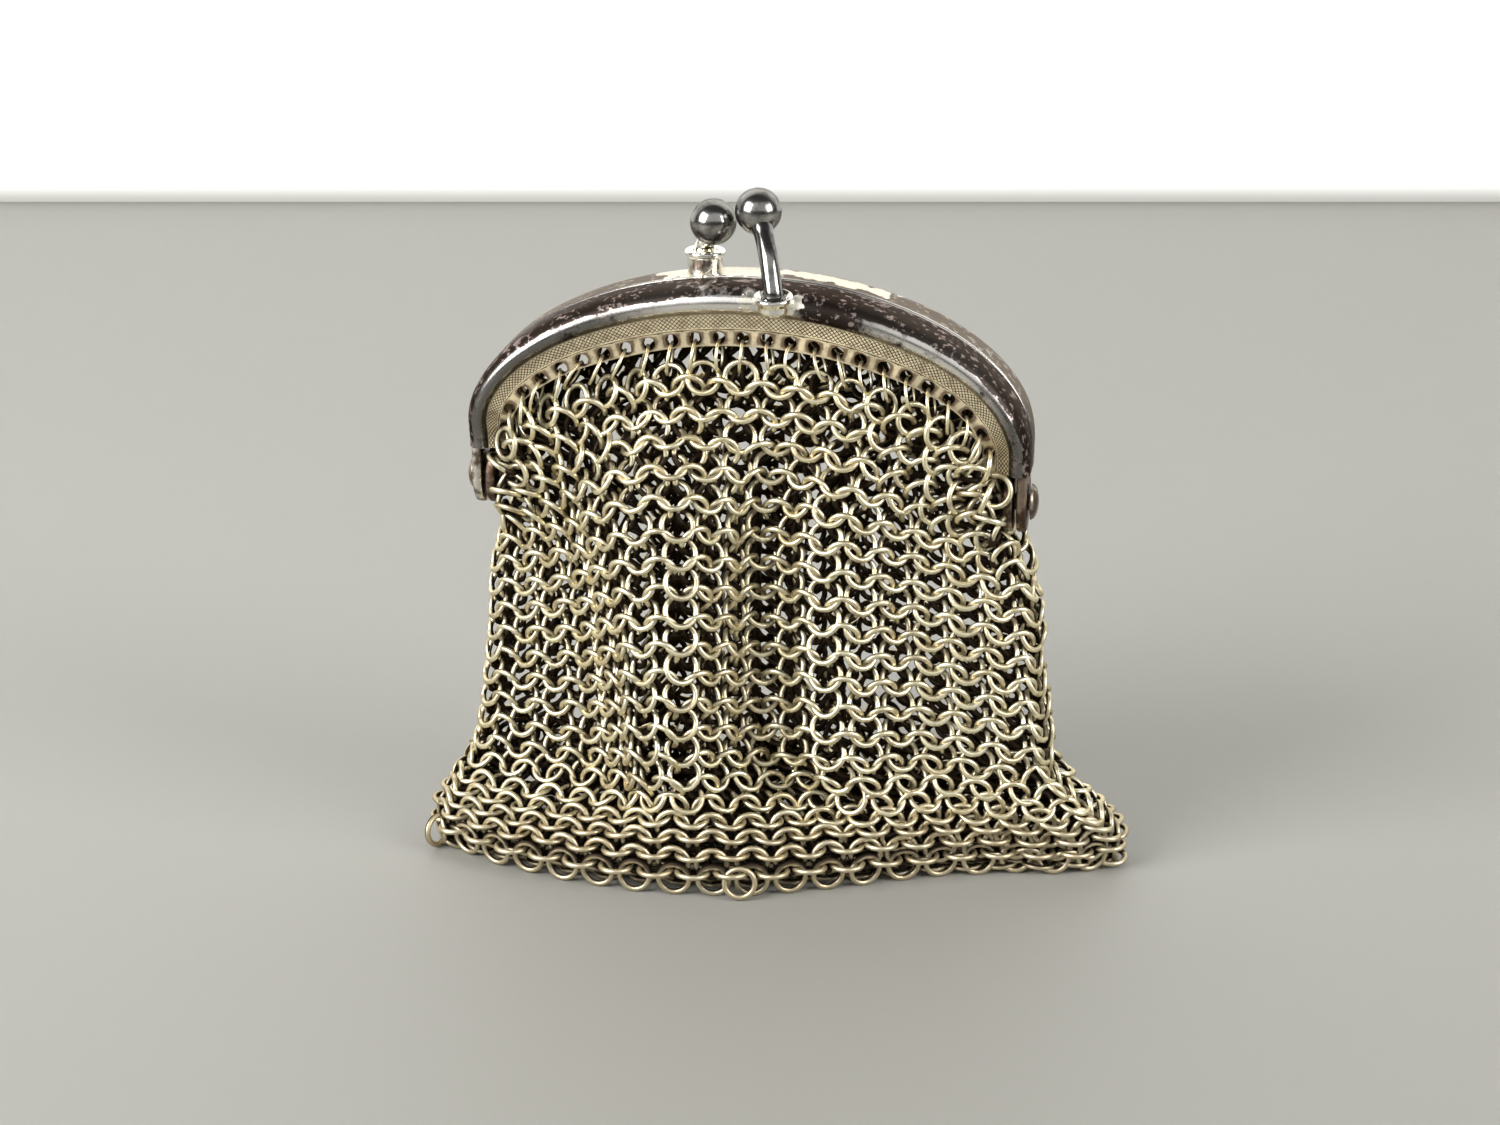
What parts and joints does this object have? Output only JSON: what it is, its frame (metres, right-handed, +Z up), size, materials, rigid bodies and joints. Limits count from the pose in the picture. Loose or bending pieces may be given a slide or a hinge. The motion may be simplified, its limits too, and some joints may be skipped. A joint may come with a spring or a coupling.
{
  "type": "metal coin purse",
  "caption": "Small chain-mail coin purse with an arched hinged metal frame, pierced engraved flanges and a ball clasp, standing closed on its spread base.",
  "frame": {"origin": "on the table under the middle of the frame, on the flat bottom of the pouch", "axes": "+X to the right along the frame, +Y to the back, +Z up"},
  "size_m": [0.0764, 0.0274, 0.0737],
  "materials": {
    "frame_silver": "silver plate, dark tarnish on the crown, worn bright on the shoulder, engraved flange",
    "clasp_silver": "dark polished balls, bright worn stems",
    "rivet_metal": "dull brown tarnish",
    "mail_metal": "satin nickel silver with brown patina where the rings touch"
  },
  "bodies": {
    "root": {"front_frame": "frame_silver", "back_frame": "frame_silver", "front_clasp": "clasp_silver", "back_clasp": "clasp_silver", "left_rivet": "rivet_metal", "right_rivet": "rivet_metal", "mail_pouch": "mail_metal"}
  },
  "joints": []
}
